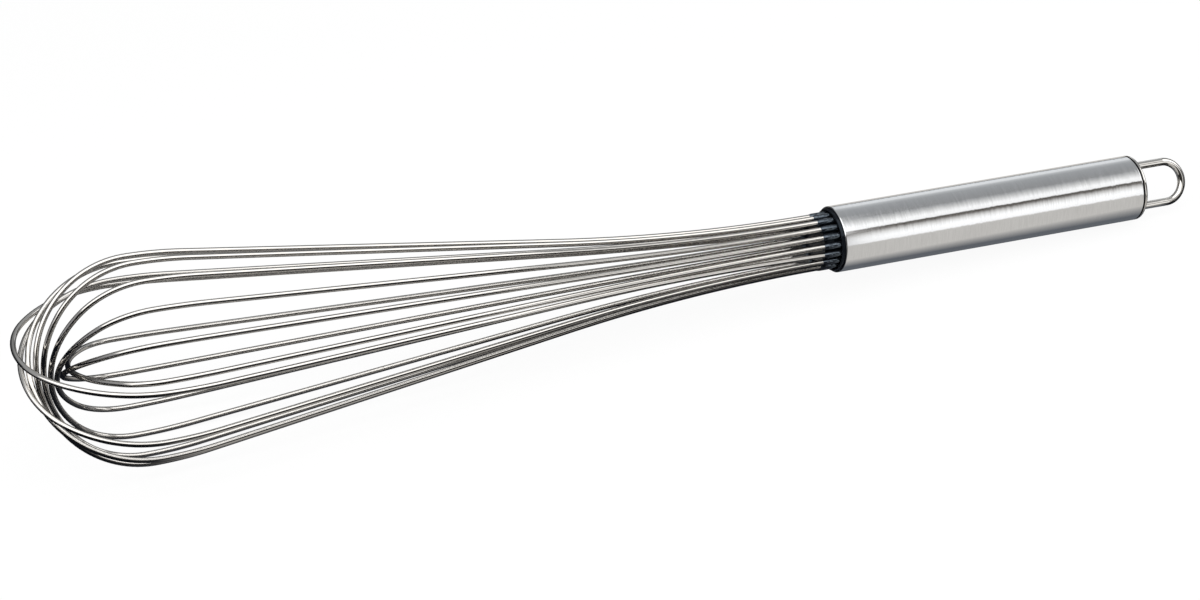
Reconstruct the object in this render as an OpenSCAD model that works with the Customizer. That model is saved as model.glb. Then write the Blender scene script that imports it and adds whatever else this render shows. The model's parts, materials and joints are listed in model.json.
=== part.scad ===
// Piano whisk: nine nested wire loops, a sealed tube handle and a hanging loop.
// The whisk lies at rest on the floor plane Z = 0, with its hanging loop towards +X.
// Pieces are first made along the X axis with the middle of the handle's mouth at the origin,
// then lay_down() tilts the whole whisk until the balloon and the end cap both touch the floor.

/* [Handle] */
// Outer diameter of the handle tube
tube_d = 25; // [23:0.5:30]
// Wall thickness of the handle tube
tube_wall = 0.7; // [0.5:0.1:1.2]
// Length of the handle tube
tube_length = 128; // [90:1:160]

/* [Wires] */
// Diameter of the whisk wire
wire_d = 2; // [1.6:0.1:2.2]
// Largest diameter of the balloon, between wire centres
balloon_d = 72; // [60:1:84]
// Distance from the handle's mouth to the balloon's widest place
belly_reach = 266; // [220:1:320]
// Distance from the widest place to the tip of the outermost loop
tip_reach = 43.5; // [40:0.5:54]
// Step from the tip of one loop to the tip of the next one inside it
nest_step = 2.4; // [2.3:0.05:2.7]
// Radius of the flare where a wire leaves its sleeve
flare_r = 760; // [500:10:1000]
// Radius of the long curve up to the widest place
belly_r = 150; // [80:5:260]
// Turn of the shoulder curve before the tip curve starts
shoulder_turn = 50; // [45:1:54]
// Lean of the outermost loop, away from the floor
outer_lean = 2; // [0:0.1:2.1]

/* [Neck] */
// Depth of the black face below the rim of the handle's mouth
face_depth = 1.5; // [0.5:0.1:5]
// Reach of the black face's raised edge beyond the handle's mouth
lip_reach = 1.2; // [0.6:0.1:2]
// Width of the raised edge round the black face
lip_width = 0.7; // [0.3:0.05:0.8]
// Length of the black potting along the handle
potting_length = 28; // [16:1:40]
// Reach of the black sleeves beyond the handle's mouth
sleeve_reach = 8; // [4:0.5:14]
// Wall thickness of a black sleeve
sleeve_wall = 0.25; // [0.15:0.05:0.3]
// Gap between a sleeve and the inner wall of the tube
sleeve_gap = 0.95; // [0.9:0.05:1.2]
// How far the core stops short of the ends of the sleeves
core_setback = 1.5; // [0.5:0.1:3.5]
// Thickness of the steel plate that spaces the wires inside the handle
plate_t = 2; // [1:0.1:4]
// Length of wire that stands out of the plate inside the handle
wire_tail = 3; // [1:0.5:8]

/* [End cap] */
// Thickness of the cap beyond the seam
cap_t = 1.2; // [1:0.1:4]
// Rounding of the cap's outer edge
cap_round = 0.8; // [0.3:0.1:1.1]
// Length of the cap's skirt inside the tube
skirt_length = 7; // [3:0.5:12]
// Wall thickness of the skirt
skirt_wall = 1; // [0.6:0.1:1.5]
// Width of the dark seam between tube and cap
seam_w = 0.6; // [0.3:0.05:1]
// Depth of the seam's surface below the tube's surface
seam_sink = 0.2; // [0.1:0.05:0.4]

/* [Hanging loop] */
// Diameter of the hanging loop's wire
hook_wire_d = 3; // [2:0.1:3.6]
// Distance between the two legs of the hanging loop, between centres
hook_span = 15.6; // [10:0.2:16.4]
// Reach of the hanging loop beyond the cap
hook_reach = 24; // [16:0.2:40]
// Turn of the hanging loop about the handle's axis
hook_turn = -31; // [-90:1:90]
// Thickness of the plate that holds the loop's legs behind the cap
anchor_t = 2; // [1:0.1:4]
// Width of steel round each leg in that plate
anchor_margin = 1.6; // [1:0.1:1.8]
// Length of leg that stands out of that plate
hook_tail = 0.8; // [0.4:0.1:2]

/* [Fits] */
// Bond line between pieces that are glued, cast or pressed together
bond_gap = 0.05; // [0.02:0.01:0.08]

/* [Hidden] */
$fn = 48;
bar_steps = 48;
function arc_steps(r) = 24 * ceil(sqrt(r));

// Turn of each loop about the axis, from the outermost to the innermost, with 0 straight down
loop_count = 9;
loop_turns = [for (i = [0 : loop_count - 1]) 180 * i / loop_count - 90];
// Turn of the two lowest loops, which the whisk rests on
rest_turn = loop_turns[5];

steel = [0.78, 0.78, 0.78];
satin = [0.70, 0.71, 0.72];
black = [0.08, 0.09, 0.10];
overshoot = 1;

// Stretches of one wire stop just short of each other inside a ball that is a hair wider than it
joint_gap = 0.1;
joint_swell = 0.02;

wire_r = wire_d / 2;
tube_r = tube_d / 2;
bore_r = tube_r - tube_wall;
sleeve_r = wire_r + sleeve_wall;
ring_r = bore_r - sleeve_gap - sleeve_r;
core_r = ring_r - sleeve_r - bond_gap;
potting_end = face_depth + potting_length;
plate_end = potting_end + plate_t;
leg_end = plate_end + wire_tail;

// Belly and flare curves meet a straight run that touches both
belly_h = balloon_d / 2;
run_dx = belly_reach - sleeve_reach;
run_dr = belly_h - belly_r - (ring_r + flare_r);
run_span = sqrt(run_dx * run_dx + run_dr * run_dr);
run_radii = flare_r + belly_r;
cone_angle = asin(run_radii / run_span) - atan2(-run_dr, run_dx);
run_length = sqrt(run_span * run_span - run_radii * run_radii);

// Shoulder and tip curves of loop i, tangent to each other and square to the axis at the tip
function tip_of(i) = tip_reach - i * nest_step;
function shoulder_r(i) =
  (tip_of(i) - belly_h * (1 - sin(shoulder_turn)) / cos(shoulder_turn))
  / (sin(shoulder_turn) - (1 - cos(shoulder_turn)) * (1 - sin(shoulder_turn)) / cos(shoulder_turn));
function nose_r(i) = (belly_h - shoulder_r(i) * (1 - cos(shoulder_turn))) / cos(shoulder_turn);
function nose_x(i) = belly_reach + tip_of(i) - nose_r(i);
function lean_of(i) = i == 0 ? outer_lean : 0;
function trim(r) = joint_gap / r * 180 / PI;

// Where the stretches of loop i meet, on one side of it, and how steeply the wire climbs there
run_x = sleeve_reach + flare_r * sin(cone_angle);
run_z = ring_r + flare_r * (1 - cos(cone_angle));
function joints(i) = [
  [sleeve_reach, ring_r, 0],
  [run_x, run_z, cone_angle],
  [run_x + run_length * cos(cone_angle), run_z + run_length * sin(cone_angle), cone_angle],
  [belly_reach, belly_h, 0],
  [belly_reach + shoulder_r(i) * sin(shoulder_turn),
   belly_h - shoulder_r(i) * (1 - cos(shoulder_turn)), -shoulder_turn]
];

// End cap and hanging loop along the axis
cap_start = tube_length + seam_w;
cap_end = cap_start + cap_t;
anchor_x = cap_start - anchor_t - bond_gap;
hook_r = hook_span / 2;
hook_wire_r = hook_wire_d / 2;
hook_bend_x = cap_end + hook_reach - hook_r - hook_wire_r;
hook_start = anchor_x - hook_tail;
anchor_w = hook_wire_d + 2 * anchor_margin;
plug_r = bore_r - bond_gap;
anchor_r = plug_r - skirt_wall - bond_gap;
cap_edge_r = tube_r - cap_round;
cap_edge_x = cap_end - cap_round;

// Tilt at rest: the line under both the cap's rounded edge and the belly curve of the two low wires
function rest_dx(t) = belly_reach - belly_r * sin(t) + cap_edge_x;
function rest_dz(t) = (belly_h - belly_r * (1 - cos(t))) * cos(rest_turn) - cap_edge_r;
function rest_line(t) = atan2(rest_dz(t), rest_dx(t))
  + asin((wire_r - cap_round) / sqrt(pow(rest_dx(t), 2) + pow(rest_dz(t), 2)));
rest_tilt = max([for (t = [0 : 0.1 : cone_angle]) rest_line(t)]);
rest_lift = cap_edge_x * sin(rest_tilt) + cap_edge_r * cos(rest_tilt) + cap_round;

// Ends of the tilted whisk along X, and how far its widest loop leans sideways,
// so that the origin lies under the middle of its box
nose_arm = nose_x(0) - sleeve_reach;
nose_share = cos(outer_lean) * cos(rest_tilt) + sin(outer_lean) * sin(rest_tilt) * sin(loop_turns[0]);
low_x = sleeve_reach * cos(rest_tilt) + nose_arm * nose_share + wire_r
  + nose_r(0) * sqrt(pow(nose_share, 2) + pow(cos(loop_turns[0]) * sin(rest_tilt), 2));
high_x = hook_bend_x * cos(rest_tilt) + hook_wire_r
  + hook_r * sqrt(1 - pow(sin(rest_tilt) * sin(hook_turn), 2));
shift_x = (low_x - high_x) / 2;
shift_y = (belly_reach - sleeve_reach) * sin(outer_lean) * cos(loop_turns[0]);

module lay_down() {
  translate([shift_x, shift_y, rest_lift]) rotate([0, rest_tilt, 0]) children();
}

// Round bar along X
module rod(x1, x2, r) {
  translate([x1, 0, 0]) rotate([0, 90, 0]) cylinder(h = x2 - x1, r = r);
}

// Ring along X
module ring(x1, x2, r_out, r_in) {
  difference() {
    rod(x1, x2, r_out);
    rod(x1 - overshoot, x2 + overshoot, r_in);
  }
}

// Curved bar in the XZ plane, from angle a1 over a sweep, both measured from +X towards +Z
module bend(x, z, r, a1, sweep, bar_r) {
  translate([x, 0, z]) rotate([90, 0, 0]) rotate([0, 0, a1])
    rotate_extrude(angle = sweep, $fn = arc_steps(r)) translate([r, 0])
      circle(r = bar_r, $fn = bar_steps);
}

// Curved stretch of whisk wire between two joints
module wire_bend(x, z, r, a1, sweep) {
  bend(x, z, r, a1 + trim(r), sweep - 2 * trim(r), wire_r);
}

// Copies of a child at each leg of each loop
module at_each_leg() {
  for (turn = loop_turns, side = [0, 180])
    rotate([turn + side, 0, 0]) translate([0, 0, -ring_r]) children();
}

// One side of a loop from its sleeve to the start of its tip curve, above the axis
module loop_side(i) {
  wire_bend(-sleeve_reach, ring_r + flare_r, flare_r, 270 - cone_angle, cone_angle);
  translate([-run_x, 0, run_z]) rotate([0, cone_angle - 90, 0]) translate([0, 0, joint_gap])
    cylinder(h = run_length - 2 * joint_gap, r = wire_r);
  wire_bend(-belly_reach, belly_h - belly_r, belly_r, 90 - cone_angle, cone_angle);
  wire_bend(-belly_reach, belly_h - shoulder_r(i), shoulder_r(i), 90, shoulder_turn);
  for (place = joints(i)) translate([-place[0], 0, place[1]]) rotate([0, place[2] - 90, 0])
    sphere(r = wire_r + joint_swell);
}

// The free part of loop i, in its own plane
module loop_bow(i) {
  loop_side(i);
  mirror([0, 0, 1]) loop_side(i);
  wire_bend(-nose_x(i), 0, nose_r(i), 90 + shoulder_turn, 180 - 2 * shoulder_turn);
}

// Loop i with both of its legs; a leaning loop turns about the line through its sleeves' ends
module whisk_loop(i) {
  color(steel) lay_down() rotate([loop_turns[i], 0, 0]) {
    for (side = [-1, 1]) translate([0, 0, side * ring_r])
      rod(joint_gap - sleeve_reach, leg_end, wire_r);
    translate([-sleeve_reach, 0, 0]) rotate([0, 0, lean_of(i)]) translate([sleeve_reach, 0, 0])
      loop_bow(i);
  }
}

module whisk_wire_1() { whisk_loop(0); }
module whisk_wire_2() { whisk_loop(1); }
module whisk_wire_3() { whisk_loop(2); }
module whisk_wire_4() { whisk_loop(3); }
module whisk_wire_5() { whisk_loop(4); }
module whisk_wire_6() { whisk_loop(5); }
module whisk_wire_7() { whisk_loop(6); }
module whisk_wire_8() { whisk_loop(7); }
module whisk_wire_9() { whisk_loop(8); }

module handle_tube() {
  color(satin) lay_down() ring(0, tube_length, tube_r, bore_r);
}

// Potting cast in the tube's mouth round the wires and the core, with a raised edge
module neck_potting() {
  color(black) lay_down() difference() {
    union() {
      rod(face_depth, potting_end, plug_r);
      rotate([0, 90, 0]) rotate_extrude() translate([plug_r - lip_width, lip_width / 2 - lip_reach]) {
        square([lip_width, lip_reach + face_depth]);
        translate([lip_width / 2, 0]) circle(r = lip_width / 2);
      }
    }
    rod(-overshoot, potting_end + overshoot, core_r + bond_gap);
    at_each_leg() rod(-overshoot, potting_end + overshoot, wire_r + bond_gap);
  }
}

// Round core that the ring of wires lies against
module wire_core() {
  color(black) lay_down() rod(core_setback - sleeve_reach, potting_end, core_r);
}

// A black sleeve on each wire between the potting and the free wire
module wire_sleeves() {
  color(black) lay_down() at_each_leg()
    ring(-sleeve_reach, face_depth, sleeve_r, wire_r + bond_gap);
}

// Steel plate behind the potting, with a hole for each wire
module spacer_plate() {
  color(steel) lay_down() difference() {
    rod(potting_end, plate_end, plug_r);
    at_each_leg() rod(potting_end - overshoot, plate_end + overshoot, wire_r + bond_gap);
  }
}

// Cap with a rounded edge, a skirt inside the tube and two holes for the hanging loop
module end_cap() {
  color(steel) lay_down() difference() {
    translate([cap_start, 0, 0]) rotate([0, 90, 0]) rotate_extrude() {
      square([tube_r, cap_t - cap_round]);
      square([cap_edge_r, cap_t]);
      translate([cap_edge_r, cap_t - cap_round]) circle(r = cap_round);
      translate([plug_r - skirt_wall, -skirt_length])
        square([skirt_wall, skirt_length + cap_t - cap_round]);
    }
    rotate([hook_turn, 0, 0]) for (side = [-1, 1])
      translate([0, 0, side * hook_r])
        rod(cap_start - overshoot, cap_end + overshoot, hook_wire_r + bond_gap);
  }
}

// Dark bead in the seam between tube and cap
module cap_seam() {
  color(black) lay_down() ring(tube_length, cap_start, tube_r - seam_sink, bore_r);
}

// Bent wire loop for hanging the whisk up
module hanging_loop() {
  color(steel) lay_down() rotate([hook_turn, 0, 0]) translate([hook_bend_x, 0, 0]) {
    for (side = [-1, 1]) translate([0, 0, side * hook_r]) rotate([0, -90, 0])
      cylinder(h = hook_bend_x - hook_start, r = hook_wire_r);
    bend(0, 0, hook_r, -90, 180, hook_wire_r);
  }
}

// Plate behind the cap that the hanging loop's legs are fixed in
module loop_anchor() {
  color(steel) lay_down() rotate([hook_turn, 0, 0]) difference() {
    intersection() {
      rod(anchor_x, anchor_x + anchor_t, anchor_r);
      translate([anchor_x - overshoot, -anchor_w / 2, -anchor_r])
        cube([anchor_t + 2 * overshoot, anchor_w, 2 * anchor_r]);
    }
    for (side = [-1, 1]) translate([0, 0, side * hook_r])
      rod(anchor_x - overshoot, anchor_x + anchor_t + overshoot, hook_wire_r + bond_gap);
  }
}

handle_tube();
neck_potting();
wire_core();
wire_sleeves();
spacer_plate();
whisk_wire_1();
whisk_wire_2();
whisk_wire_3();
whisk_wire_4();
whisk_wire_5();
whisk_wire_6();
whisk_wire_7();
whisk_wire_8();
whisk_wire_9();
end_cap();
cap_seam();
hanging_loop();
loop_anchor();
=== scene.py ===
"""Piano whisk: nested wire loops in a sealed tube handle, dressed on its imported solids."""

import json
import math

import bmesh
import bpy
from bpy.props import FloatProperty, FloatVectorProperty, IntProperty, PointerProperty
from mathutils import Matrix, Vector


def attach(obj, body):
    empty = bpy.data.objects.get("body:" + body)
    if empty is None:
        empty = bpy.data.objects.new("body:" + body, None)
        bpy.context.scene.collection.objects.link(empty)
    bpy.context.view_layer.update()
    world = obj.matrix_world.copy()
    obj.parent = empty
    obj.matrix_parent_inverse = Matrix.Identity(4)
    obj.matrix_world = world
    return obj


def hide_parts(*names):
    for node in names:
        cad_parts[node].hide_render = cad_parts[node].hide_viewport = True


bl_info = {
    "name": "Piano Whisk",
    "version": (1, 0, 0),
    "blender": (4, 5, 0),
    "location": "View3D > Sidebar > Whisk",
    "description": "Builds a piano whisk on its packed solids and lights it in a plain studio",
    "category": "Add Mesh",
}

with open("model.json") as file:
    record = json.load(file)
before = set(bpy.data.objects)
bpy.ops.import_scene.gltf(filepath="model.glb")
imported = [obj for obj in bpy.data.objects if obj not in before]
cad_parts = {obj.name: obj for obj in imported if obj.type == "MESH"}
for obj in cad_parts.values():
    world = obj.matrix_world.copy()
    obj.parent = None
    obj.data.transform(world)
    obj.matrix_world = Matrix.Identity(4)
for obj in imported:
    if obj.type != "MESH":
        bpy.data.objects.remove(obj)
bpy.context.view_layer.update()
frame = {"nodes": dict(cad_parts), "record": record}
MM = 0.001

# The handle's mount gives the whisk's own axes: X from the mouth to the hanging loop, Y level, Z up
GRIP = next(m for m in frame["record"]["mounts"] if m["name"] == "handle_grip")
TUBE_RADIUS = GRIP["dims"]["r_mm"] * MM
TUBE_LENGTH = GRIP["dims"]["length_mm"] * MM
AXIS = Vector(GRIP["axis"]).normalized()
MOUTH = Vector(GRIP["pos_m"]) - AXIS * TUBE_LENGTH / 2
LEVEL = Vector((0, 1, 0))
WHISK = Matrix((AXIS, LEVEL, AXIS.cross(LEVEL))).transposed().to_4x4()
WHISK.translation = MOUTH

# Turn of each loop about the axis in degrees, from the outermost to the innermost, 0 straight down
LOOP_TURNS = tuple(range(-90, 90, 20))
LOOP_NODES = [f"whisk_wire_{place}" for place in range(1, len(LOOP_TURNS) + 1)]


# ---------------------------------------------------------------- node trees as Python sums


class Value:
    """One value in a node tree, so that its maths can be written as a Python expression."""

    def __init__(self, sheet, socket):
        self.sheet = sheet
        self.socket = socket

    def maths(self, operation, *others):
        values = dict(enumerate((self, *others)))
        return self.sheet.add("ShaderNodeMath", {"operation": operation}, values)

    def __add__(self, other):
        return self.maths("ADD", other)

    def __sub__(self, other):
        return self.maths("SUBTRACT", other)

    def __rsub__(self, other):
        return self.sheet.number(other).maths("SUBTRACT", self)

    def __mul__(self, other):
        return self.maths("MULTIPLY", other)

    def __truediv__(self, other):
        return self.maths("DIVIDE", other)

    def __neg__(self):
        return self * -1

    __radd__ = __add__
    __rmul__ = __mul__

    def between(self, low, high):
        return self.maths("MAXIMUM", low).maths("MINIMUM", high)

    def rise(self, start, width, most=1):
        """From 0 at the start to 1 a width further on, or to the most that is asked."""
        return ((self - start) / width).between(0, most)

    def fall(self, end, width):
        """From 1 a width before the end to 0 at the end."""
        return ((end - self) / width).between(0, 1)

    def above(self, limit):
        return self.maths("GREATER_THAN", limit)

    def sin(self):
        return self.maths("SINE")

    def cos(self):
        return self.maths("COSINE")

    def root(self):
        return self.maths("SQRT")


class Sheet:
    """A node tree and the one way that nodes are added to it."""

    def __init__(self, tree):
        self.tree = tree

    def add(self, kind, settings=None, values=None, output=0):
        node = self.tree.nodes.new(kind)
        for name, setting in (settings or {}).items():
            if name == "stops":
                self.set_stops(node.color_ramp, setting)
            else:
                setattr(node, name, setting)
        for key, value in (values or {}).items():
            self.feed(node.inputs[key], value)
        return Value(self, node.outputs[output]) if len(node.outputs) else node

    def feed(self, socket, value):
        if isinstance(value, Value):
            self.tree.links.new(value.socket, socket)
        else:
            socket.default_value = value

    def set_stops(self, ramp, stops):
        while len(ramp.elements) < len(stops):
            ramp.elements.new(1)
        for element, (place, level, warmth) in zip(ramp.elements, stops):
            element.position = place
            element.color = (level * (1 + warmth), level, level * (1 - warmth), 1)

    def number(self, value):
        if isinstance(value, Value):
            return value
        return self.add("ShaderNodeMath", {}, {0: value, 1: 0})

    def other(self, value, output):
        """Another output of the node that a value came from."""
        return Value(self, value.socket.node.outputs[output])

    def point(self, x, y, z):
        return self.add("ShaderNodeCombineXYZ", {}, {"X": x, "Y": y, "Z": z})

    def vector(self, operation, *values):
        """Maths on whole vectors."""
        inputs = dict(enumerate(values))
        return self.add("ShaderNodeVectorMath", {"operation": operation}, inputs)

    def scaled(self, vector, share):
        inputs = {0: vector, "Scale": share}
        return self.add("ShaderNodeVectorMath", {"operation": "SCALE"}, inputs)

    def mix(self, share, low, high):
        """A colour between two others."""
        colours = {0: share, 6: low, 7: high}
        return self.add("ShaderNodeMix", {"data_type": "RGBA"}, colours, 2)


class Form:
    """A Geometry Nodes tree with named inputs that makes one kind of piece."""

    def __init__(self, name, inputs):
        tree = bpy.data.node_groups.new(name, "GeometryNodeTree")
        tree.interface.new_socket("Geometry", in_out="OUTPUT", socket_type="NodeSocketGeometry")
        kinds = {
            float: "NodeSocketFloat", int: "NodeSocketInt", object: "NodeSocketMaterial",
            bpy.types.Mesh: "NodeSocketGeometry",
        }
        self.identifiers = {}
        for label, kind in inputs.items():
            socket = tree.interface.new_socket(label, in_out="INPUT", socket_type=kinds[kind])
            self.identifiers[label] = socket.identifier
        self.tree = tree
        self.sheet = Sheet(tree)
        self.source = tree.nodes.new("NodeGroupInput")

    def input(self, label):
        return Value(self.sheet, self.source.outputs[label])

    def finish(self, geometry):
        """Ends the tree with one smooth real mesh in the given material."""
        smooth = self.sheet.add("GeometryNodeSetShadeSmooth", {}, {"Geometry": geometry})
        real = self.sheet.add("GeometryNodeRealizeInstances", {}, {"Geometry": smooth})
        painted = self.sheet.add(
            "GeometryNodeSetMaterial", {}, {"Geometry": real, "Material": self.input("Material")}
        )
        target = self.tree.nodes.new("NodeGroupOutput")
        self.tree.links.new(painted.socket, target.inputs["Geometry"])

    def make(self, name, values, start=None):
        """A piece of this form, as a plain mesh in the shared frame."""
        maker = bpy.data.objects.new(name, start or bpy.data.meshes.new(name))
        bpy.context.scene.collection.objects.link(maker)
        modifier = maker.modifiers.new(self.tree.name, "NODES")
        modifier.node_group = self.tree
        for label, value in values.items():
            modifier[self.identifiers[label]] = value
        bpy.context.view_layer.update()
        graph = bpy.context.evaluated_depsgraph_get()
        mesh = bpy.data.meshes.new_from_object(maker.evaluated_get(graph))
        maker.modifiers.clear()
        maker.data = mesh
        mesh.name = name
        mesh.transform(WHISK)
        return maker


def dress(piece, slot, *nodes):
    """Rides a finished piece on the whisk, in place of the solids that it stands for."""
    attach(piece, "root")
    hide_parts(*nodes)


# ---------------------------------------------------------------- sizes, finishes and light


def length(name, description, millimetres):
    return FloatProperty(
        name=name, description=description, default=millimetres * MM, min=0, precision=5,
        subtype="DISTANCE", unit="LENGTH",
    )


def tint(name, description, colour):
    return FloatVectorProperty(
        name=name, description=description, default=colour, size=3, min=0, max=1, subtype="COLOR"
    )


def strength(name, description, value):
    return FloatProperty(name=name, description=description, default=value, min=0)


class WhiskWireSizes(bpy.types.PropertyGroup):
    """Sizes of the loops and of the hanging loop."""

    wire: length("Wire", "Diameter of the whisk wire", 2)
    balloon: length("Balloon", "Largest diameter of the balloon, between wire centres", 72)
    belly_reach: length("Belly Reach", "From the handle's mouth to the widest place", 266)
    tip_reach: length("Tip Reach", "From the widest place to the outermost loop's tip", 43.5)
    nest_step: length("Nest Step", "From one loop's tip to the next one's inside it", 2.4)
    flare: length("Flare", "Radius of the curve where a wire leaves its sleeve", 760)
    belly: length("Belly", "Radius of the long curve up to the widest place", 150)
    shoulder_turn: FloatProperty(
        name="Shoulder Turn", description="Turn of the shoulder before the tip curve starts",
        default=math.radians(50), subtype="ANGLE",
    )
    outer_lean: FloatProperty(
        name="Outer Lean", description="Lean of the outermost loop, away from the floor",
        default=math.radians(2), subtype="ANGLE",
    )
    ring: length("Leg Ring", "Radius of the ring that the wires' legs stand in", 9.6)
    leg: length("Leg", "Length of each leg inside the handle", 34.5)
    steps: IntProperty(name="Steps", description="Steps along a loop", default=380, min=16)
    sides: IntProperty(name="Sides", description="Sides round a wire", default=24, min=6)
    hook_wire: length("Hanging Loop Wire", "Diameter of the hanging loop's wire", 3)
    hook_span: length("Hanging Loop Span", "Between its legs, from centre to centre", 15.6)
    hook_reach: length("Hanging Loop Reach", "How far it stands out of the cap", 24)
    hook_leg: length("Hanging Loop Leg", "Straight length of each leg, inside and out", 18.75)
    hook_turn: FloatProperty(
        name="Hanging Loop Turn", description="Turn of the hanging loop about the handle",
        default=math.radians(-31), subtype="ANGLE",
    )


class WhiskHandleSizes(bpy.types.PropertyGroup):
    """Sizes of the tube, its plug, its cap and the seam between them."""

    wall: length("Tube Wall", "Wall thickness of the handle tube", 0.7)
    edge: length("Tube Edge", "Rounding of the tube's two rims", 0.3)
    face: length("Face Depth", "Depth of the black face below the tube's mouth", 1.5)
    lip_reach: length("Lip Reach", "Reach of the black raised edge beyond the mouth", 1.2)
    lip: length("Lip Width", "Width of the black raised edge", 0.7)
    plug: length("Plug Length", "Length of the black plug along the handle", 28)
    sleeve_reach: length("Sleeve Reach", "Reach of the black sleeves beyond the mouth", 8)
    sleeve: length("Sleeve Diameter", "Outer diameter of a black sleeve", 2.5)
    core: length("Core Radius", "Radius of the black core inside the ring of wires", 8.3)
    core_reach: length("Core Reach", "Reach of the core beyond the mouth", 6.5)
    bond: length("Bond Line", "Gap between pieces that are glued or cast together", 0.05)
    seam: length("Seam", "Width of the dark seam between tube and cap", 0.6)
    seam_sink: length("Seam Sink", "Depth of the seam below the tube's surface", 0.2)
    cap: length("Cap", "Thickness of the cap beyond the seam", 1.2)
    cap_edge: length("Cap Edge", "Rounding of the cap's outer edge", 0.8)
    skirt: length("Cap Skirt", "Length of the cap's skirt inside the tube", 7)
    skirt_wall: length("Skirt Wall", "Wall thickness of the skirt", 1)
    sides: IntProperty(name="Sides", description="Sides round a turned piece", default=192, min=24)


class WhiskFinishes(bpy.types.PropertyGroup):
    """Colours and finishes of the whisk."""

    satin: tint("Satin Steel", "Colour of the brushed tube", (0.85, 0.856, 0.862))
    wire: tint("Spring Wire", "Colour of the polished whisk wire", (0.724, 0.701, 0.667))
    polished: tint("Polished Steel", "Colour of the cap and the hanging loop", (0.78, 0.76, 0.724))
    plain: tint("Plain Steel", "Colour of the steel plates inside", (0.55, 0.55, 0.55))
    black: tint("Potting", "Colour of the black plug, core and sleeves", (0.010, 0.012, 0.016))
    gleam: tint("Gleam", "Tint of the gloss on the potting and the sleeves", (0.72, 0.86, 1.0))
    sealant: tint("Sealant", "Colour of the dark seam", (0.004, 0.004, 0.005))
    brush_line: length("Brush Line", "Width of a brush line on the tube", 0.4)
    brush_run: length("Brush Run", "Length of a brush line round the tube", 7)


class WhiskStudio(bpy.types.PropertyGroup):
    """Floor, light tent and camera."""

    floor: tint("Floor", "Colour of the floor", (0.80, 0.80, 0.80))
    floor_glow: strength("Floor Glow", "Share of plain white that the camera sees", 0.9)
    # Metal sees the floor's painted reflection, with its painted shade, at this share
    floor_shine: strength("Floor Shine", "Share of its plain shade that metal sees", 1.0)
    tent_light: strength("Tent Light", "Brightness of the light tent's panels", 0.87)
    tent_radius: length("Tent Radius", "Radius of the tent round the whisk", 700)
    tent_left: length("Tent Left", "Reach of the tent beyond the whisk's tip side", 1400)
    tent_right: length("Tent Right", "Reach of the tent beyond the handle side", 1800)
    panel_change: length("Panel Change", "Where the handle's panels take over", 395)
    panel_end: length("Panel End", "Where the handle's panels end", 655)


# ---------------------------------------------------------------- materials

# How far a brush line and a broader stroke lean the light round the tube
LINE_LEAN = 0.08
STROKE_LEAN = 0.02

# How fine the die marks are round a wire and along it, in cells to the metre
DIE_ROUND, DIE_ALONG = 2200, 30


def new_material(name):
    """An empty material, its sheet, and its own surface shader."""
    material = bpy.data.materials.new(f"{name}_detailed")
    material.use_nodes = True
    tree = material.node_tree
    tree.nodes.clear()
    sheet = Sheet(tree)
    shader = tree.nodes.new("ShaderNodeBsdfPrincipled")
    target = tree.nodes.new("ShaderNodeOutputMaterial")
    tree.links.new(shader.outputs["BSDF"], target.inputs["Surface"])
    return material, sheet, shader


def set_shader(sheet, shader, **values):
    for name, value in values.items():
        sheet.feed(shader.inputs[name.replace("_", " ").title().replace("Ior", "IOR")], value)


def axes_of(sheet, vector):
    x = sheet.add("ShaderNodeSeparateXYZ", {}, {0: vector})
    return x, sheet.other(x, "Y"), sheet.other(x, "Z")


def whisk_place(sheet):
    """Place on a piece, measured from the middle of the mouth along the whisk's own axes."""
    where = sheet.add("ShaderNodeTexCoord", {}, {}, "Object")
    turned = {"Vector": where, "Location": MOUTH, "Rotation": WHISK.to_euler()}
    local = sheet.add("ShaderNodeMapping", {"vector_type": "TEXTURE"}, turned)
    return axes_of(sheet, local)


def noise(sheet, where, detail=2.0, roughness=0.5):
    values = {"Vector": where, "Scale": 1.0, "Detail": detail, "Roughness": roughness}
    return sheet.add("ShaderNodeTexNoise", {}, values, "Fac")


def patches(sheet, place, along, across, detail=2.0, roughness=0.5):
    """Noise over the whisk, with its cells to the metre along the handle and across it."""
    x, y, z = place
    where = sheet.point(x * along, y * across, z * across)
    return noise(sheet, where, detail, roughness)


def shade(sheet, colour, share):
    """A colour scaled by a changing share."""
    whole = (*colour, 1)
    dark = (*(part * 0.5 for part in colour), 1)
    return sheet.mix(share * 2 - 1, dark, whole)


def bump(sheet, height, depth, distance):
    return sheet.add(
        "ShaderNodeBump", {}, {"Strength": depth, "Distance": distance, "Height": height}
    )


def make_satin_steel(finishes):
    """Steel brushed round the tube: each fine line leans the light a little its own way."""
    material, sheet, shader = new_material("satin_steel")
    place = whisk_place(sheet)
    x, y, z = place
    fine, run = 1 / finishes.brush_line, 1 / finishes.brush_run
    lines = patches(sheet, place, along=fine, across=run, roughness=0.6)
    strokes = noise(sheet, sheet.point(x * fine / 3 + 7, y * run / 2, z * run / 2), 2)
    clouds = patches(sheet, place, along=60, across=110)
    lean = (lines - 0.5) * LINE_LEAN + (strokes - 0.5) * STROKE_LEAN
    upright = sheet.add("ShaderNodeNewGeometry", {}, {}, "Normal")
    round_way = sheet.vector("CROSS_PRODUCT", tuple(AXIS), upright)
    leaning = sheet.vector("ADD", upright, sheet.scaled(round_way, lean))
    set_shader(
        sheet, shader, metallic=1.0,
        base_color=shade(sheet, finishes.satin, 0.82 + lines * 0.20 + clouds * 0.08),
        roughness=0.04 + lines * 0.06 + clouds * 0.04,
        normal=sheet.vector("NORMALIZE", leaning),
    )
    return material


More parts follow.
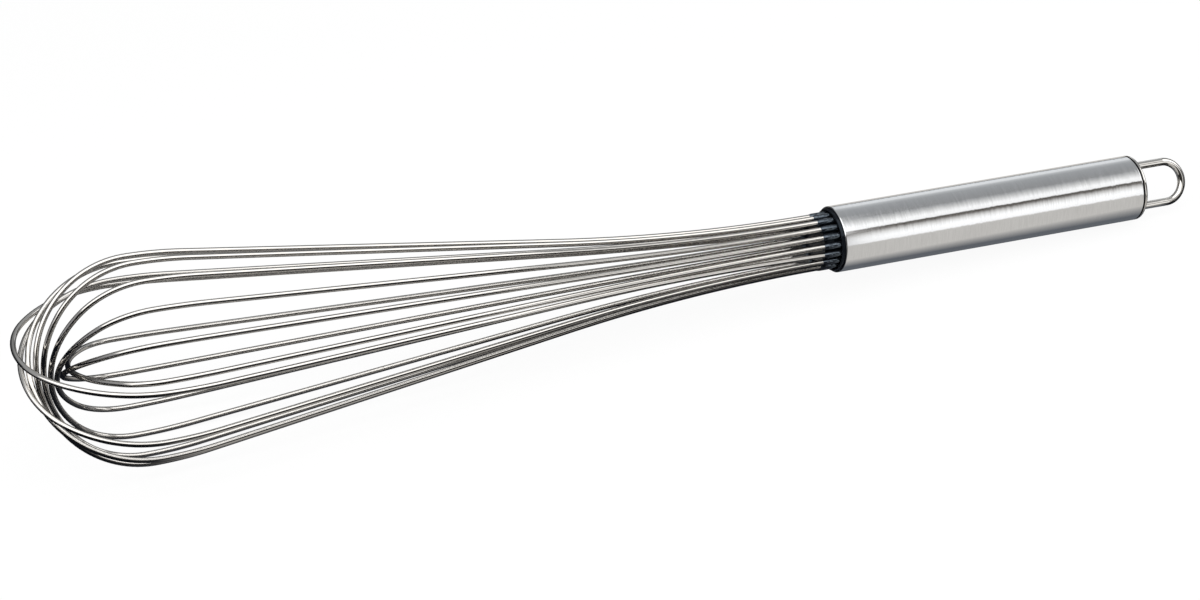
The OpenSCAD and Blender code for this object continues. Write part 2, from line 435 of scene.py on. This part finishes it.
def make_spring_wire(finishes):
    """Bright drawn wire with faint die marks along it."""
    material, sheet, shader = new_material("spring_wire")
    along = sheet.add("ShaderNodeAttribute", {"attribute_name": "along"}, {}, "Fac")
    around = sheet.add("ShaderNodeAttribute", {"attribute_name": "around"}, {}, "Vector")
    side, rise, _ = axes_of(sheet, around)
    where = sheet.point(side * DIE_ROUND, rise * DIE_ROUND, along * DIE_ALONG)
    marks = noise(sheet, where, 2, 0.6)
    clouds = patches(sheet, whisk_place(sheet), along=120, across=120)
    set_shader(
        sheet, shader, metallic=1.0,
        base_color=shade(sheet, finishes.wire, 0.78 + marks * 0.26 + clouds * 0.10),
        roughness=0.05 + marks * 0.05,
        normal=bump(sheet, marks, 0.3, 0.03 * MM),
    )
    return material


def make_polished_steel(finishes):
    """Mirror-polished steel with faint wiping marks."""
    material, sheet, shader = new_material("polished_steel")
    clouds = patches(sheet, whisk_place(sheet), along=160, across=160, detail=3)
    set_shader(
        sheet, shader, metallic=1.0,
        base_color=shade(sheet, finishes.polished, 0.9 + clouds * 0.12),
        roughness=0.03 + clouds * 0.05,
        normal=bump(sheet, clouds, 0.2, 0.1 * MM),
    )
    return material


def make_plain_steel(finishes):
    """Cut steel plate as it comes from the press."""
    material, sheet, shader = new_material("plain_steel")
    grain = patches(sheet, whisk_place(sheet), along=700, across=700, detail=4)
    set_shader(
        sheet, shader, metallic=1.0,
        base_color=shade(sheet, finishes.plain, 0.8 + grain * 0.2),
        roughness=0.35 + grain * 0.2,
        normal=bump(sheet, grain, 0.3, 0.05 * MM),
    )
    return material


def make_black(name, finishes, shine, rough, index=1.5):
    """Black resin or rubber, a little wavy where it was wiped."""
    material, sheet, shader = new_material(name)
    waves = patches(sheet, whisk_place(sheet), along=350, across=700)
    set_shader(
        sheet, shader, specular_ior_level=shine, ior=index, specular_tint=(*finishes.gleam, 1),
        base_color=shade(sheet, finishes.black, 0.7 + waves * 0.3),
        roughness=rough * (1 + waves),
        normal=bump(sheet, waves, 0.25, 0.12 * MM),
    )
    return material


def make_sealant(finishes):
    """Dull dark sealant."""
    material, sheet, shader = new_material("seam_sealant")
    grain = patches(sheet, whisk_place(sheet), along=1500, across=1500)
    set_shader(
        sheet, shader, specular_ior_level=0.1,
        base_color=shade(sheet, finishes.sealant, 0.7 + grain * 0.3),
        roughness=0.45 + grain * 0.2,
    )
    return material


def finish(name):
    """The procedural material for a slot, made when a piece first asks for it."""
    found = bpy.data.materials.get(f"{name}_detailed")
    if found:
        return found
    finishes = bpy.context.scene.whisk_finishes
    makers = {
        "satin_steel": lambda: make_satin_steel(finishes),
        "spring_wire": lambda: make_spring_wire(finishes),
        "polished_steel": lambda: make_polished_steel(finishes),
        "plain_steel": lambda: make_plain_steel(finishes),
        "black_potting": lambda: make_black("black_potting", finishes, 0.2, 0.08),
        "black_sleeve": lambda: make_black("black_sleeve", finishes, 1.0, 0.03, 1.65),
        "seam_sealant": lambda: make_sealant(finishes),
    }
    return makers[name]()


# ---------------------------------------------------------------- turned pieces

# Points closer than this are one, and a bend sharper than this shows as an edge
TOUCH = 1e-7
SHARP_BEND = math.radians(40)

# Where a support point lies beside a rounded corner, as a share of the rounding
SUPPORT = 1.3

LIP_STEPS = 12
FACE_EDGE = 0.2 * MM
CORE_EDGE = 0.6 * MM
CORE_SHORT = 1.0 * MM


def rounded(corners, radius, steps=5):
    """An outline of (x, radius) corners with each one rounded, and a support point either side."""
    outline = []
    for place, corner in enumerate(corners):
        if place in (0, len(corners) - 1):
            outline.append(Vector(corner))
            continue
        here = Vector(corner)
        back = (Vector(corners[place - 1]) - here).normalized()
        ahead = (Vector(corners[place + 1]) - here).normalized()
        outline.append(here + back * radius * SUPPORT)
        for step in range(steps + 1):
            angle = math.pi / 2 * step / steps
            outline.append(here + back * radius * (1 - math.sin(angle))
                           + ahead * radius * (1 - math.cos(angle)))
        outline.append(here + ahead * radius * SUPPORT)
    return outline


def turned(name, outlines, slot, nodes):
    """A piece turned on the whisk's axis from closed outlines of (x, radius) points."""
    sides = bpy.context.scene.whisk_handle.sides
    work = bmesh.new()
    for outline in outlines:
        rings = []
        for x, radius in outline:
            if radius < TOUCH:
                rings.append([work.verts.new((x, 0, 0))])
                continue
            turns = (2 * math.pi * side / sides for side in range(sides))
            rings.append([
                work.verts.new((x, radius * math.sin(turn), radius * math.cos(turn)))
                for turn in turns
            ])
        closed = len(rings[0]) > 1
        pairs = zip(rings, rings[1:] + rings[:1]) if closed else zip(rings, rings[1:])
        for low, high in pairs:
            for side in range(sides):
                after = (side + 1) % sides
                loop = [low[side % len(low)], low[after % len(low)],
                        high[after % len(high)], high[side % len(high)]]
                work.faces.new(list(dict.fromkeys(loop)))
    bmesh.ops.remove_doubles(work, verts=work.verts, dist=TOUCH)
    bmesh.ops.recalc_face_normals(work, faces=work.faces)
    mesh = bpy.data.meshes.new(name)
    work.to_mesh(mesh)
    work.free()
    mesh.shade_smooth()
    mesh.set_sharp_from_angle(angle=SHARP_BEND)
    mesh.materials.append(finish(slot))
    mesh.transform(WHISK)
    piece = bpy.data.objects.new(name, mesh)
    bpy.context.scene.collection.objects.link(piece)
    dress(piece, slot, *nodes)


class WHISK_OT_handle_tube(bpy.types.Operator):
    """Turns the satin handle tube with its two rounded rims"""

    bl_idname = "whisk.handle_tube"
    bl_label = "Handle Tube"

    def execute(self, context):
        sizes = context.scene.whisk_handle
        bore = TUBE_RADIUS - sizes.wall
        corners = [
            (TUBE_LENGTH / 2, bore), (0, bore), (0, TUBE_RADIUS),
            (TUBE_LENGTH, TUBE_RADIUS), (TUBE_LENGTH, bore), (TUBE_LENGTH / 2, bore),
        ]
        outline = rounded(corners, sizes.edge)[:-1]
        turned("handle_tube_satin", [outline], "satin_steel", ["handle_tube"])
        return {"FINISHED"}


class WHISK_OT_black_plug(bpy.types.Operator):
    """Turns the black plug with its raised edge, and the core inside the ring of wires"""

    bl_idname = "whisk.black_plug"
    bl_label = "Black Plug"

    def execute(self, context):
        sizes = context.scene.whisk_handle
        outer = TUBE_RADIUS - sizes.wall - sizes.bond
        inner = outer - sizes.lip
        back = sizes.face + sizes.plug
        half = sizes.lip / 2
        lip = [Vector(((half - sizes.lip_reach) - half * math.cos(turn), inner + half
                       + half * math.sin(turn)))
               for turn in (math.pi * (0.5 - step / LIP_STEPS) for step in range(LIP_STEPS + 1))]
        face = sizes.face
        outline = [Vector((back, 0)), Vector((back, outer))] + lip + [
            Vector((face - FACE_EDGE, inner)), Vector((face, inner - FACE_EDGE)), Vector((face, 0)),
        ]
        turned("black_plug", [outline], "black_potting", ["neck_potting"])
        core_back = back - CORE_SHORT
        core = [(core_back, 0), (core_back, sizes.core), (-sizes.core_reach, sizes.core),
                (-sizes.core_reach, 0)]
        turned("black_core", [rounded(core, CORE_EDGE)], "black_potting", ["wire_core"])
        return {"FINISHED"}


class WHISK_OT_end_cap(bpy.types.Operator):
    """Turns the polished end cap with its skirt, and the dark seam beside it"""

    bl_idname = "whisk.end_cap"
    bl_label = "End Cap"

    def execute(self, context):
        sizes = context.scene.whisk_handle
        start = TUBE_LENGTH + sizes.seam
        end = start + sizes.cap
        plug = TUBE_RADIUS - sizes.wall - sizes.bond
        skirt = plug - sizes.skirt_wall
        inside = [(start, 0), (start, skirt), (start - sizes.skirt, skirt)]
        outside = [(start - sizes.skirt, plug), (start, plug), (start, TUBE_RADIUS)]
        rim = rounded([(start, TUBE_RADIUS), (end, TUBE_RADIUS), (end, 0)], sizes.cap_edge, 9)
        outline = [Vector(corner) for corner in inside + outside] + rim[1:]
        turned("end_cap_polished", [outline], "polished_steel", ["end_cap"])
        bead = TUBE_RADIUS - sizes.seam_sink
        ring = [Vector(corner) for corner in (
            (TUBE_LENGTH, plug + sizes.bond), (TUBE_LENGTH, bead), (start, bead),
            (start, plug + sizes.bond))]
        turned("cap_seam_bead", [ring], "seam_sealant", ["cap_seam"])
        return {"FINISHED"}


# ---------------------------------------------------------------- bent wires

# The rounding of a sleeve's end in walls, and the share of the wire's radius that it closes to
SLEEVE_ROUNDING = 1.2
SLEEVE_CLOSE = 0.98


def tube_along(form, path, thickness, along):
    """Sweeps a bar along computed points, with the run along it and the place round it kept."""
    sheet = form.sheet
    line = sheet.add("GeometryNodeCurvePrimitiveLine")
    steps = {"Curve": line, "Count": form.input("Steps")}
    fine = sheet.add("GeometryNodeResampleCurve", {"mode": "COUNT"}, steps)
    bent = sheet.add("GeometryNodeSetPosition", {}, {"Geometry": fine, "Position": path})
    stored = {"Geometry": bent, "Name": "along", "Value": along}
    marked = sheet.add("GeometryNodeStoreNamedAttribute", {"data_type": "FLOAT"}, stored)
    across = {"Resolution": form.input("Sides"), "Radius": thickness / 2}
    circle = sheet.add("GeometryNodeCurvePrimitiveCircle", {}, across)
    rim = {"Geometry": circle, "Name": "around",
           "Value": sheet.add("GeometryNodeInputPosition")}
    kept = sheet.add("GeometryNodeStoreNamedAttribute", {"data_type": "FLOAT_VECTOR"}, rim)
    swept = {"Curve": marked, "Profile Curve": kept, "Fill Caps": True}
    return sheet.add("GeometryNodeCurveToMesh", {}, swept)


def make_loop_form():
    """Form of a whisk loop: leg, flare, straight run, belly, shoulder and tip, and back."""
    form = Form("Whisk Loop", {
        "Wire": float, "Ring": float, "Leg": float, "Sleeve Reach": float, "Flare": float,
        "Cone Angle": float, "Run": float, "Belly": float, "Shoulder": float,
        "Shoulder Turn": float, "Nose": float, "Lean": float, "Turn": float,
        "Steps": int, "Sides": int, "Material": object,
    })
    sheet = form.sheet
    flare, cone, belly = form.input("Flare"), form.input("Cone Angle"), form.input("Belly")
    shoulder, bow = form.input("Shoulder"), form.input("Shoulder Turn")
    nose, run, leg = form.input("Nose"), form.input("Run"), form.input("Leg")
    lengths = [
        leg + form.input("Sleeve Reach"), flare * cone, run, belly * cone, shoulder * bow,
        nose * (math.pi / 2 - bow),
    ]
    whole = sum(lengths[1:], lengths[0])
    factor = sheet.add("GeometryNodeSplineParameter")
    signed = factor * 2 - 1
    side = signed.above(0) * 2 - 1
    along = (1 - signed.maths("ABSOLUTE")) * whole
    done, shares = None, []
    for stretch in lengths:
        shares.append((along - done if done else along).between(0, stretch))
        done = done + stretch if done else stretch
    straight, flared, climbed, bellied, turned_in, nosed = shares
    flare_turn = flared / flare
    belly_left = cone - bellied / belly
    shoulder_bend = turned_in / shoulder
    nose_turn = bow + nosed / nose
    reach = (
        straight - leg + flare * flare_turn.sin() + climbed * cone.cos()
        + belly * (cone.sin() - belly_left.sin()) + shoulder * shoulder_bend.sin()
        + nose * (nose_turn.sin() - bow.sin())
    )
    radius = (
        form.input("Ring") + flare * (1 - flare_turn.cos()) + climbed * cone.sin()
        + belly * (belly_left.cos() - cone.cos()) - shoulder * (1 - shoulder_bend.cos())
        - nose * (bow.cos() - nose_turn.cos())
    )
    fixed = reach.maths("MINIMUM", form.input("Sleeve Reach"))
    free = reach - fixed
    x = -(fixed + free * form.input("Lean").cos())
    off = -(free * form.input("Lean").sin())
    across = radius * side
    turn = form.input("Turn")
    path = sheet.point(
        x, off * turn.cos() - across * turn.sin(), off * turn.sin() + across * turn.cos()
    )
    form.finish(tube_along(form, path, form.input("Wire"), along))
    return form


class WHISK_OT_loops(bpy.types.Operator):
    """Bends the nested whisk loops from one rule, each with its own reach and turn"""

    bl_idname = "whisk.loops"
    bl_label = "Whisk Loops"

    def execute(self, context):
        sizes = context.scene.whisk_wires
        handle = context.scene.whisk_handle
        high = sizes.balloon / 2
        bow = sizes.shoulder_turn
        ahead = sizes.belly_reach - handle.sleeve_reach
        drop = high - sizes.belly - sizes.ring - sizes.flare
        span = math.hypot(ahead, drop)
        both = sizes.flare + sizes.belly
        cone = math.asin(both / span) - math.atan2(-drop, ahead)
        form = make_loop_form()
        for place, (turn, node) in enumerate(zip(LOOP_TURNS, LOOP_NODES)):
            tip = sizes.tip_reach - place * sizes.nest_step
            slope = (1 - math.sin(bow)) / math.cos(bow)
            shoulder = (tip - high * slope) / (math.sin(bow) - (1 - math.cos(bow)) * slope)
            nose = (high - shoulder * (1 - math.cos(bow))) / math.cos(bow)
            piece = form.make(f"{node}_polished", {
                "Wire": sizes.wire, "Ring": sizes.ring, "Leg": sizes.leg,
                "Sleeve Reach": handle.sleeve_reach, "Flare": sizes.flare, "Cone Angle": cone,
                "Run": math.sqrt(span ** 2 - both ** 2), "Belly": sizes.belly,
                "Shoulder": shoulder, "Shoulder Turn": bow, "Nose": nose,
                "Lean": 0.0 if place else sizes.outer_lean, "Turn": math.radians(turn),
                "Steps": sizes.steps, "Sides": sizes.sides, "Material": finish("spring_wire"),
            })
            dress(piece, "spring_wire", node)
        return {"FINISHED"}


class WHISK_OT_sleeves(bpy.types.Operator):
    """Sets a black sleeve with a rounded end on every leg"""

    bl_idname = "whisk.sleeves"
    bl_label = "Black Sleeves"

    def execute(self, context):
        sizes, handle = context.scene.whisk_wires, context.scene.whisk_handle
        form = Form("Black Sleeve", {
            "Legs": bpy.types.Mesh, "Wire": float, "Sleeve": float, "Reach": float,
            "Depth": float, "Steps": int, "Sides": int, "Material": object,
        })
        sheet = form.sheet
        outer, reach, depth = form.input("Sleeve"), form.input("Reach"), form.input("Depth")
        share = sheet.add("GeometryNodeSplineParameter")
        eased = (share * (math.pi / 2)).sin()
        along = eased * (reach + depth)
        path = sheet.point(depth - along, 0.0, 0.0)
        wall = (outer - form.input("Wire")) / 2
        left = ((reach + depth - along) / (wall * SLEEVE_ROUNDING)).between(0, 1)
        bulge = (1 - (1 - left) * (1 - left)).root()
        line = sheet.add("GeometryNodeCurvePrimitiveLine")
        steps = {"Curve": line, "Count": form.input("Steps")}
        fine = sheet.add("GeometryNodeResampleCurve", {"mode": "COUNT"}, steps)
        bent = sheet.add("GeometryNodeSetPosition", {}, {"Geometry": fine, "Position": path})
        thick = form.input("Wire") / 2 * SLEEVE_CLOSE + wall * bulge
        across = {"Resolution": form.input("Sides"), "Radius": 1.0}
        circle = sheet.add("GeometryNodeCurvePrimitiveCircle", {}, across)
        swept = {"Curve": bent, "Profile Curve": circle, "Scale": thick, "Fill Caps": True}
        sleeve = sheet.add("GeometryNodeCurveToMesh", {}, swept)
        start = bpy.data.meshes.new("leg_places")
        places = [
            (0, sizes.ring * math.sin(turn), -sizes.ring * math.cos(turn))
            for turn in (math.radians(t + half) for t in LOOP_TURNS for half in (0, 180))
        ]
        start.from_pydata(places, [], [])
        spots = {"Points": form.input("Legs"), "Instance": sleeve}
        spread = sheet.add("GeometryNodeInstanceOnPoints", {}, spots)
        form.finish(spread)
        piece = form.make("wire_sleeves_black", {
            "Wire": sizes.wire, "Sleeve": handle.sleeve, "Reach": handle.sleeve_reach,
            "Depth": handle.face, "Steps": 40, "Sides": 24, "Material": finish("black_sleeve"),
        }, start)
        dress(piece, "black_potting", "wire_sleeves")
        return {"FINISHED"}


class WHISK_OT_hanging_loop(bpy.types.Operator):
    """Bends the hanging loop: two straight legs and a half circle between them"""

    bl_idname = "whisk.hanging_loop"
    bl_label = "Hanging Loop"

    def execute(self, context):
        sizes, handle = context.scene.whisk_wires, context.scene.whisk_handle
        form = Form("Hanging Loop", {
            "Wire": float, "Radius": float, "Leg": float, "Start": float, "Turn": float,
            "Steps": int, "Sides": int, "Material": object,
        })
        sheet = form.sheet
        radius, leg, turn = form.input("Radius"), form.input("Leg"), form.input("Turn")
        share = sheet.add("GeometryNodeSplineParameter")
        arc = radius * math.pi
        along = share * (leg * 2 + arc)
        out = along.between(0, leg)
        bend = (along - leg).between(0, arc) / radius
        home = (along - leg - arc).between(0, leg)
        x = form.input("Start") + out + radius * bend.sin() - home
        up = -(radius * bend.cos())
        path = sheet.point(x, -(up * turn.sin()), up * turn.cos())
        form.finish(tube_along(form, path, form.input("Wire"), along))
        cap_end = TUBE_LENGTH + handle.seam + handle.cap
        radius = sizes.hook_span / 2
        bend_x = cap_end + sizes.hook_reach - radius - sizes.hook_wire / 2
        piece = form.make("hanging_loop_polished", {
            "Wire": sizes.hook_wire, "Radius": radius, "Leg": sizes.hook_leg,
            "Start": bend_x - sizes.hook_leg, "Turn": sizes.hook_turn,
            "Steps": 140, "Sides": 40, "Material": finish("polished_steel"),
        })
        dress(piece, "polished_steel", "hanging_loop")
        return {"FINISHED"}


class WHISK_OT_inner_plates(bpy.types.Operator):
    """Gives the two steel plates inside the handle their finish"""

    bl_idname = "whisk.inner_plates"
    bl_label = "Inner Plates"

    def execute(self, context):
        for node in ("spacer_plate", "loop_anchor"):
            mesh = frame["nodes"][node].data
            mesh.materials.clear()
            mesh.materials.append(finish("plain_steel"))
        return {"FINISHED"}


# ---------------------------------------------------------------- floor, lights and camera

# The photograph's frame, and where the middle of the handle's mouth lies in it, in pixels
PHOTO_WIDTH, PHOTO_HEIGHT = 1200, 600
MOUTH_COLUMN, MOUTH_ROW = 831.4, 239.5
FOCAL_PIXELS = 3300
CAMERA_DISTANCE = 1.2313
CAMERA_ELEVATION = math.radians(33.29)
CAMERA_HEADING = math.radians(22.91)
SENSOR_WIDTH = 36.0

# What metal sees of the floor is a painted reflection, darker than the white the camera sees:
# painted shade under and beside the whisk, and a painted light line beside the wires. A zone's
# edge is where it starts and how wide it is, in metres, measured off the whisk's axis, along it,
# or along it on a slant
FLOOR_REACH = 4.0
FLOOR_SLANT = 0.41
TUBE_SHADE = (0.011, 0.014)
TUBE_START, TUBE_END = (0.072, 0.004), (0.218, 0.004)
END_SIDE = (0.12, 0.02)
PALE_NEAR, PALE_FAR, PALE_LEFT = (0.022, 0.008), (0.085, 0.02), (-0.19, 0.03)
PALE_RIGHT = (-0.08, 0.1, 0.8)
BELLY_MIDDLE, BELLY_EDGE = -0.14, (0.05, 0.03)
PAINTED_SHADE_UNDER_TUBE, PAINTED_GREY_BESIDE_TUBE = (0.13, 0.14, 0.157, 1), (0.618, 0.60, 0.574, 1)
PAINTED_SHADE_UNDER_BELLY, PAINTED_DARK_OFF_BELLY = (0.060, 0.062, 0.070, 1), (0.006, 0.007, 0.010, 1)
PAINTED_LINE_BESIDE_WIRES = (0.435, 0.426, 0.41, 1)
FLOOR_WHITE = (1.04, 1.04, 1.04, 1)

# The tent: how far its panels slant, how wide the edges between them are, the faint haze over
# the middle of the wires, and its dim ends
TENT_STEPS = 36
PANEL_SLANT = 0.16
CHANGE_EDGE, END_EDGE = 0.006, 0.015
HAZE_LEFT, HAZE_RIGHT, HAZE = (-0.25, 0.1), (0.25, 0.2), 0.02
END_DEPTH = 0.01
TENT_ENDS = (0.20, 0.20, 0.21, 1)

# Brightness and warmth of the tent by the angle over the whisk in degrees: 0 is the floor's edge
# on the camera's side, 90 straight up. Graded panels light the handle, a wide one the wires
HANDLE_PANELS = (
    (0, 0.85, 0.02), (3.5, 1.35, 0), (15, 1.45, 0), (22, 1.34, 0), (29, 1.08, 0.01),
    (36, 0.68, 0.02), (42, 0.24, 0.06), (46, 0.10, 0.12), (50, 0.10, 0.12), (51, 1.28, 0),
    (63, 1.32, 0), (70, 1.08, 0), (78, 0.80, 0), (86, 0.56, -0.01), (94, 0.38, -0.02),
    (116, 0.42, -0.03), (134, 0.47, -0.03), (146, 0.62, -0.03), (156, 1.00, -0.02),
    (173, 0.95, -0.03), (176, 0.30, -0.06), (180, 0.10, -0.06),
)
WIRE_PANELS = (
    (0, 0.02, 0.10), (36, 0.02, 0.10), (40, 0.12, 0.08), (43, 2.0, 0), (70, 2.1, 0),
    (100, 2.1, 0), (106, 0.52, -0.02), (140, 0.42, -0.03), (154, 0.12, -0.05), (180, 0.04, -0.06),
)
PANEL_PEAK = 2.1


class WHISK_OT_studio(bpy.types.Operator):
    """Lays the pale floor, puts up the light tent and sets the camera"""

    bl_idname = "whisk.studio"
    bl_label = "Studio"

    def execute(self, context):
        scene = context.scene
        studio = scene.whisk_studio
        self.lay_floor(studio)
        self.light_room()
        self.put_up_tent(studio)
        self.set_camera(scene)
        scene.view_settings.view_transform = "Standard"
        return {"FINISHED"}

    def stage_piece(self, name, corners, faces, material):
        mesh = bpy.data.meshes.new(name)
        mesh.from_pydata(corners, [], faces)
        mesh.materials.append(material)
        piece = bpy.data.objects.new(name, mesh)
        bpy.context.scene.collection.objects.link(piece)
        return piece

    def lay_floor(self, studio):
        """A pale floor, plain white to the camera, that metal sees as a painted reflection."""
        material = bpy.data.materials.new("pale_floor")
        material.use_nodes = True
        tree = material.node_tree
        tree.nodes.clear()
        sheet = Sheet(tree)
        x, y, _ = axes_of(sheet, sheet.add("ShaderNodeTexCoord", {}, {}, "Object"))
        camera = sheet.add("ShaderNodeLightPath", {}, {}, "Is Camera Ray")
        glossy = sheet.other(camera, "Is Glossy Ray")
        clear = sheet.other(camera, "Is Transmission Ray")
        aside = y.maths("ABSOLUTE")
        slanted = x - aside * FLOOR_SLANT
        # Painted shade under the tube and a painted grey beside it, seen only in reflections
        painted_shade_by_handle = sheet.mix(aside.rise(*TUBE_SHADE), PAINTED_SHADE_UNDER_TUBE, PAINTED_GREY_BESIDE_TUBE)
        # Where the painted light line beside the wires lies, seen only in reflections
        pale = (aside.rise(*PALE_NEAR) * aside.fall(*PALE_FAR) * x.rise(*PALE_LEFT)
                * (1 - slanted.rise(*PALE_RIGHT)))
        # Painted dark under the belly and darker still off it, seen only in reflections
        off_belly = (slanted - BELLY_MIDDLE).maths("ABSOLUTE").rise(*BELLY_EDGE)
        dim = sheet.mix(off_belly, PAINTED_SHADE_UNDER_BELLY, PAINTED_DARK_OFF_BELLY)
        painted_shade_by_wires = sheet.mix(pale, dim, PAINTED_LINE_BESIDE_WIRES)
        handle = slanted.rise(*TUBE_START) - slanted.rise(*TUBE_END) * aside.fall(*END_SIDE)
        # The painted reflection of the floor: metal sees it, the camera sees plain white
        painted_reflection = sheet.mix(handle, painted_shade_by_wires, painted_shade_by_handle)
        shown = sheet.mix(glossy, FLOOR_WHITE, painted_reflection)
        share = (camera + clear) * studio.floor_glow + glossy * studio.floor_shine
        matt = sheet.add("ShaderNodeBsdfDiffuse", {}, {"Color": (*studio.floor, 1)})
        white = sheet.add("ShaderNodeEmission", {}, {"Color": shown, "Strength": 1.0})
        both = sheet.add("ShaderNodeMixShader", {}, {0: share, 1: matt, 2: white})
        sheet.add("ShaderNodeOutputMaterial", {}, {"Surface": both})
        far = FLOOR_REACH
        corners = [(-far, -far, 0), (far, -far, 0), (far, far, 0), (-far, far, 0)]
        self.stage_piece("floor", corners, [(0, 1, 2, 3)], material)

    def light_room(self):
        """A plain white room outside the tent."""
        world = bpy.data.worlds.new("white_room")
        world.use_nodes = True
        tree = world.node_tree
        tree.nodes.clear()
        sheet = Sheet(tree)
        room = sheet.add("ShaderNodeBackground", {}, {"Color": (1, 1, 1, 1), "Strength": 1.0})
        sheet.add("ShaderNodeOutputWorld", {}, {"Surface": room})
        bpy.context.scene.world = world

    def graded(self, sheet, panels, angle):
        """The colour of a set of panels at an angle from 0 to 1."""
        stops = [(turn / 180, level / PANEL_PEAK, warmth) for turn, level, warmth in panels]
        return sheet.add("ShaderNodeValToRGB", {"stops": stops}, {0: angle})

    def put_up_tent(self, studio):
        """A half round tent along the whisk that only the camera looks through."""
        material = bpy.data.materials.new("tent_panels")
        material.use_nodes = True
        tree = material.node_tree
        tree.nodes.clear()
        sheet = Sheet(tree)
        x, y, z = axes_of(sheet, sheet.add("ShaderNodeTexCoord", {}, {}, "Object"))
        angle = z.maths("ARCTAN2", -y) / math.pi
        handle, wires = (
            self.graded(sheet, panels, angle) for panels in (HANDLE_PANELS, WIRE_PANELS)
        )
        slanted = x - angle * (1 - angle) * PANEL_SLANT
        start = slanted.rise(studio.panel_change, CHANGE_EDGE)
        end = slanted.rise(studio.panel_end, END_EDGE)
        haze = x.fall(*HAZE_RIGHT) * x.rise(*HAZE_LEFT) * HAZE
        wires = sheet.vector("ADD", wires, sheet.point(haze, haze, haze))
        panels = sheet.mix(start - end, wires, handle)
        inside = (x + studio.tent_left).above(END_DEPTH) * (studio.tent_right - x).above(END_DEPTH)
        colour = sheet.mix(inside, TENT_ENDS, panels)
        power = PANEL_PEAK * studio.tent_light
        glow = sheet.add("ShaderNodeEmission", {}, {"Color": colour, "Strength": power})
        sheet.add("ShaderNodeOutputMaterial", {}, {"Surface": glow})
        turns = [math.pi * step / TENT_STEPS for step in range(TENT_STEPS + 1)]
        left, right = -studio.tent_left, studio.tent_right
        ring = [(-math.cos(turn) * studio.tent_radius, math.sin(turn) * studio.tent_radius)
                for turn in turns]
        corners = [(end_x, y, z) for end_x in (left, right) for y, z in ring]
        count = len(ring)
        faces = [(step, step + 1, step + 1 + count, step + count) for step in range(count - 1)]
        faces += [tuple(range(count)), tuple(range(count, 2 * count))]
        tent = self.stage_piece("light_tent", corners, faces, material)
        tent.visible_camera = False

    def set_camera(self, scene):
        flat = Vector((math.sin(CAMERA_HEADING), math.cos(CAMERA_HEADING), 0))
        forward = flat * math.cos(CAMERA_ELEVATION) - Vector((0, 0, math.sin(CAMERA_ELEVATION)))
        right = flat.cross(Vector((0, 0, 1)))
        up = right.cross(forward)
        across = (MOUTH_COLUMN - PHOTO_WIDTH / 2) / FOCAL_PIXELS
        above = (PHOTO_HEIGHT / 2 - MOUTH_ROW) / FOCAL_PIXELS
        ray = forward + right * across + up * above
        lens = bpy.data.cameras.new("camera")
        lens.sensor_width = SENSOR_WIDTH
        lens.lens = SENSOR_WIDTH * FOCAL_PIXELS / PHOTO_WIDTH
        lens.clip_start = 0.01
        camera = bpy.data.objects.new("camera", lens)
        camera.matrix_world = Matrix((right, up, -forward)).transposed().to_4x4()
        camera.matrix_world.translation = MOUTH - ray * CAMERA_DISTANCE
        scene.collection.objects.link(camera)
        scene.camera = camera


class WHISK_PT_panel(bpy.types.Panel):
    """Sizes, finishes and the steps that build the whisk"""

    bl_idname = "WHISK_PT_panel"
    bl_label = "Piano Whisk"
    bl_space_type = "VIEW_3D"
    bl_region_type = "UI"
    bl_category = "Whisk"

    def draw(self, context):
        for group in ("whisk_wires", "whisk_handle", "whisk_finishes", "whisk_studio"):
            box = self.layout.box()
            settings = getattr(context.scene, group)
            for name in settings.__annotations__:
                box.prop(settings, name)
        for operator in OPERATORS:
            self.layout.operator(operator.bl_idname)


OPERATORS = (
    WHISK_OT_loops,
    WHISK_OT_sleeves,
    WHISK_OT_black_plug,
    WHISK_OT_handle_tube,
    WHISK_OT_end_cap,
    WHISK_OT_hanging_loop,
    WHISK_OT_inner_plates,
    WHISK_OT_studio,
)
SETTINGS = {
    "whisk_wires": WhiskWireSizes,
    "whisk_handle": WhiskHandleSizes,
    "whisk_finishes": WhiskFinishes,
    "whisk_studio": WhiskStudio,
}


def register():
    for group in (*SETTINGS.values(), *OPERATORS, WHISK_PT_panel):
        bpy.utils.register_class(group)
    for name, group in SETTINGS.items():
        setattr(bpy.types.Scene, name, PointerProperty(type=group))


def unregister():
    for name in SETTINGS:
        delattr(bpy.types.Scene, name)
    for group in reversed((*SETTINGS.values(), *OPERATORS, WHISK_PT_panel)):
        bpy.utils.unregister_class(group)


def main():
    register()
    for operator in OPERATORS:
        family, step = operator.bl_idname.split(".")
        getattr(getattr(bpy.ops, family), step)()


if __name__ == "__main__":
    main()
